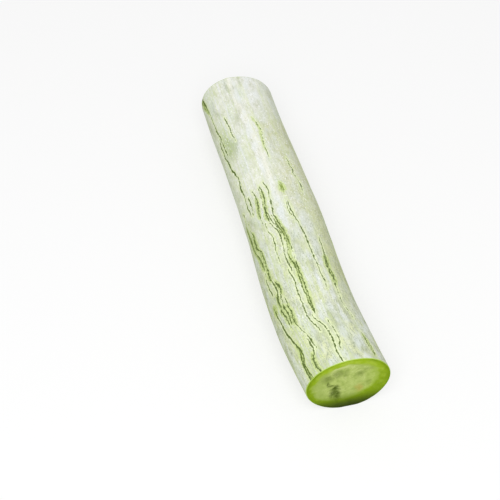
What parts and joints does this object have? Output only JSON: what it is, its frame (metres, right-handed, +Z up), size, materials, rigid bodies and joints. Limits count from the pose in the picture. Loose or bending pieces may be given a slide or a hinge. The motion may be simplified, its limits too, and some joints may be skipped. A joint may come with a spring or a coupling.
{
  "type": "snake gourd",
  "caption": "Cut length of a snake gourd lying on its side: a slightly bowed, tapering, striped green log with both ends sliced flat.",
  "frame": {"origin": "middle of the bounding box's base, on the surface that the gourd lies on", "axes": "+Y along the gourd from its thicker cut end to its slimmer cut end, +Z up, +X to the right seen from the thicker end"},
  "size_m": [0.0626, 0.2712, 0.0573],
  "materials": {
    "skin": "matt whitish wax bloom over pale green skin, with thin wavy dark green lines and broken yellow-green bands along it; the two cuts are moist pale green flesh inside a lime green rim"
  },
  "bodies": {
    "root": {"snake_gourd": "skin"}
  },
  "joints": []
}
